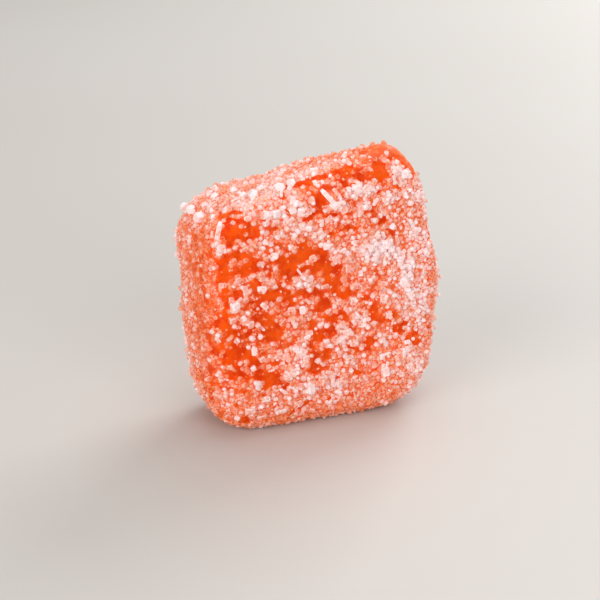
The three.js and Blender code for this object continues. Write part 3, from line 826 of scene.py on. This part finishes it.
# Kinds of sugar by sieve size, in mm. The largest are strewn first and finer ones fill between.
# The spacing is where the cover is thin and where it is thick, and the lift is in sizes.
grainKinds = {
    "coarseSugar": {"seed": 11, "sizes": (0.48, 0.7), "sizeBias": 1.6, "throws": 7,
                    "spacing": (2.6, 1.25), "leastCover": 0.25, "shunsLeft": 0.8, "seeksEdge": 8,
                    "stretch": (0.82, 1.08), "tumble": 26, "lift": (-0.28, 0), "tone": 1.0},
    "middlingSugar": {"seed": 12, "sizes": (0.4, 0.5), "sizeBias": 1.1, "throws": 16,
                      "spacing": (2.3, 0.9), "leastCover": 0.2, "shunsLeft": 0.6, "seeksEdge": 1.5,
                      "stray": 0.01, "stretch": (0.82, 1.1), "tumble": 34, "lift": (-0.28, 0.03),
                      "tone": 0.95},
    "mediumSugar": {"form": "box", "seed": 13, "sizes": (0.31, 0.4), "spacing": (2.1, 0.84),
                    "leastCover": 0.14, "shunsLeft": 0.3, "stray": 0.04, "tumble": 30,
                    "lift": (-0.22, 0.1), "tone": 0.9},
    "smallSugar": {"seed": 14, "sizes": (0.22, 0.3), "spacing": (1.9, 0.8), "leastCover": -0.05,
                   "stray": 0.08, "stretch": (0.82, 1.15), "tumble": 40, "lift": (-0.15, 0.2),
                   "tone": 0.85},
    "fineSugar": {"form": "prism", "clear": False, "seed": 15, "sizes": (0.12, 0.2),
                  "spacing": (1.6, 0.8), "leastCover": -0.3, "stray": 0.2, "stretch": (0.82, 1.2),
                  "build": (1, 1, 1), "tumble": 50, "lift": (-0.1, 0.25), "tone": 0.8},
}

# Long grains, and grains piled on the others where dry sugar has heaped. The pile is in mm.
extraKinds = {
    "longSugar": {"form": "box", "seed": 16, "count": 380, "sizes": (0.22, 0.3),
                  "stretch": (0.85, 1.15), "build": (2.2, 1, 0.9), "tumble": 16,
                  "lift": (0.2, 0.6), "pile": (0, 0.05), "tone": 1.2},
    "piledSugar": {"seed": 17, "count": 1500, "sizes": (0.28, 0.46), "tumble": 36,
                   "lift": (0.2, 0.55), "pile": (0, 0.06), "tone": 1.2},
}
pileOn = {"cover": 0.12, "heaps": 1.3, "fullHeap": 1.2, "crown": 0.3, "nearLaid": 0.8}


# Where extra grains pile up: the heaps on the front, the crown, and thinly all over.
def pileWeight():
    outward = cells["outward"]
    heaped = np.minimum(spotsOn("front", cells["point"], outward, heaps["front"]), pileOn["fullHeap"])
    weight = pileOn["cover"] * cells["cover"] + pileOn["heaps"] * heaped
    weight += pileOn["crown"] * facing("crown", outward, 0.5, 0.3) * cells["cover"]
    return (weight + pileOn["nearLaid"] * cells["nearLaid"]) * rise(outward[:, 2], -0.6, 0.3)


def extraPlaces(kind):
    random = np.random.default_rng(kind["seed"])
    places = drawPlaces(kind["count"], pileWeight(), random)
    places["size"] = mix(*kind["sizes"], random.uniform(0, 1, kind["count"]))
    places["pile"] = mix(*kind["pile"], random.uniform(0, 1, kind["count"]))
    return places


def sugarPieces(material):
    forms = {"box": chamferedBox(0.36), "round": sixSidedGrain((0.62, 1, 0.62), (-1, 0, 1)),
             "prism": sixSidedGrain((0.95, 0.8), (-1, 1))}
    pieces = [laidPiece(name, forms[kind["form"]], kind) for name, kind in laidKinds.items()]
    for name, own in {**grainKinds, **extraKinds}.items():
        kind = {**anySugar, **own}
        places = extraPlaces(kind) if "count" in kind else strew(kind)
        places["point"] = places["point"] - places["outward"] * jelly["inset"]
        places["dryWithPaintedLight"] = drynessWithPaintedLight(places["point"], places["outward"])
        places["dryWithPaintedLight"] += dryShiftWithPaintedLight["alone"] * (1 - places["cover"])
        pieces.append(grainPiece(name, forms[kind["form"]], places, kind))
    for piece in pieces:
        piece.data.materials.append(material)
    return pieces


jellyBlock = jellyPiece(setJelly())
sugar = sugarPieces(granulatedSugar())
for piece, slot in [(jellyBlock, "jelly")] + [(grains, "sugar") for grains in sugar]:
    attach(piece, "root")
    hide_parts(candyNode)
print("candy dressed:", 1 + len(sugar), "pieces")

# Pale, faintly cloudy painted board as the floor.
floor = {"halfWidth": 3000, "tint": ((0.3, "#C8C4BF"), (0.7, "#CFCCC8")), "cloudMm": 166.7, "roughness": 0.6}


def floorPiece():
    corners = np.array([[-1, -1, 0], [1, -1, 0], [1, 1, 0], [-1, 1, 0]]) * floor["halfWidth"]
    piece = meshPiece("studioFloor", corners, np.array([[0, 1, 2, 3]]), False)
    material, add = newMaterial("paintedBoard")
    cloud = add("TexNoise", {"Vector": add("TexCoord", output="Object"),
                             "Scale": 1 / (floor["cloudMm"] * mm)})
    tint = withStops(add("ValToRGB", {"Fac": cloud}), floor["tint"])
    shader = add("BsdfPrincipled", {"Base Color": tint, "Roughness": floor["roughness"]})
    add("OutputMaterial", {"Surface": shader})
    piece.data.materials.append(material)
    return piece


floorPiece()

# Camera turned left of the broad face and raised, as in the photo: angles in degrees, lengths in
# mm, and the aim moved right and up in the photo's pixels.
camera = {"turn": 20.5, "raise": 21.95, "distance": 120, "pixel": 0.08, "frame": 600, "sensor": 36,
          "aimHeight": 8.68, "aimRight": -8.66, "aimUp": 6.8, "clipStart": 10}


def placeCamera():
    turn, lift = np.radians(camera["turn"]), np.radians(camera["raise"])
    back = Vector((-np.sin(turn) * np.cos(lift), -np.cos(turn) * np.cos(lift), np.sin(lift)))
    right = Vector((np.cos(turn), -np.sin(turn), 0))
    up = back.cross(right)
    aim = Vector((-block["middle"][0], -block["middle"][1], camera["aimHeight"]))
    aim += (right * camera["aimRight"] + up * camera["aimUp"]) * camera["pixel"]
    data = bpy.data.cameras.new("photoCamera")
    data.sensor_width = camera["sensor"]
    data.lens = camera["sensor"] * camera["distance"] / (camera["frame"] * camera["pixel"])
    data.clip_start = camera["clipStart"] * mm
    view = newObject("photoCamera", data)
    view.location = (aim + back * camera["distance"]) * mm
    view.rotation_euler = back.to_track_quat("Z", "Y").to_euler()
    bpy.context.scene.camera = view


placeCamera()

# Soft boxes, white unless coloured: place and size in mm, power in watts. They face the candy's middle.
softBoxes = {
    "overhead": {"place": (60, 40, 330), "size": 260, "power": 0.38},
    "leftFill": {"place": (-300, -160, 150), "size": 240, "power": 0.7, "colour": "#FFF8F2"},
    "rightRim": {"place": (240, 170, 170), "size": 200, "power": 0.64},
    "frontFill": {"place": (40, -330, 160), "size": 240, "power": 0.47},
}
room = {"colour": "#F4F2F0", "strength": 0.37, "lit": (0, 0, 10)}


def lightStudio():
    for name, box in softBoxes.items():
        data = bpy.data.lights.new(name, "AREA")
        data.shape = "SQUARE"
        data.size = box["size"] * mm
        data.energy = box["power"]
        data.color = linear(box.get("colour", "#FFFFFF"))[:3]
        lamp = newObject(name, data)
        lamp.location = Vector(box["place"]) * mm
        lamp.rotation_euler = (lamp.location - Vector(room["lit"]) * mm).to_track_quat("Z", "Y").to_euler()
    world = bpy.data.worlds.new("paleRoom")
    world.use_nodes = True
    background = world.node_tree.nodes["Background"]
    background.inputs["Color"].default_value = linear(room["colour"])
    background.inputs["Strength"].default_value = room["strength"]
    bpy.context.scene.world = world


lightStudio()
bpy.context.scene.view_settings.view_transform = "Standard"
print("studio ready")
